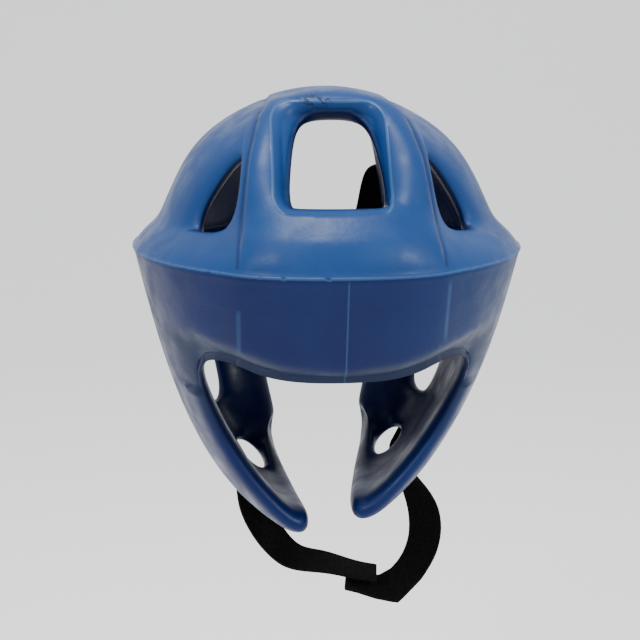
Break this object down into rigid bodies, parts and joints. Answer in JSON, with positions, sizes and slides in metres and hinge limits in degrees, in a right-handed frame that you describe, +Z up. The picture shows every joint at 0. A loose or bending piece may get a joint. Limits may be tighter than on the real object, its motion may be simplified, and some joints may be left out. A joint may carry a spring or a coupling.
{
  "type": "taekwondo head guard",
  "caption": "Blue dipped-foam martial arts head guard with an open crown window, side slots, cheek guards and a black webbing chin strap",
  "frame": {"origin": "the inner top of the crown, on the middle plane, where the wearer's head bears on the guard", "axes": "+X is the wearer's left (the viewer's right in the picture), +Y is the back of the head, +Z is up; the face looks along -Y"},
  "size_m": [0.2102, 0.2242, 0.2884],
  "materials": {
    "dipped_foam": "satin",
    "black_webbing": "woven"
  },
  "bodies": {
    "root": {"foam_shell": "dipped_foam", "chin_strap_left": "black_webbing", "chin_strap_right": "black_webbing", "rear_strap": "black_webbing", "rear_tab": "black_webbing"}
  },
  "joints": []
}
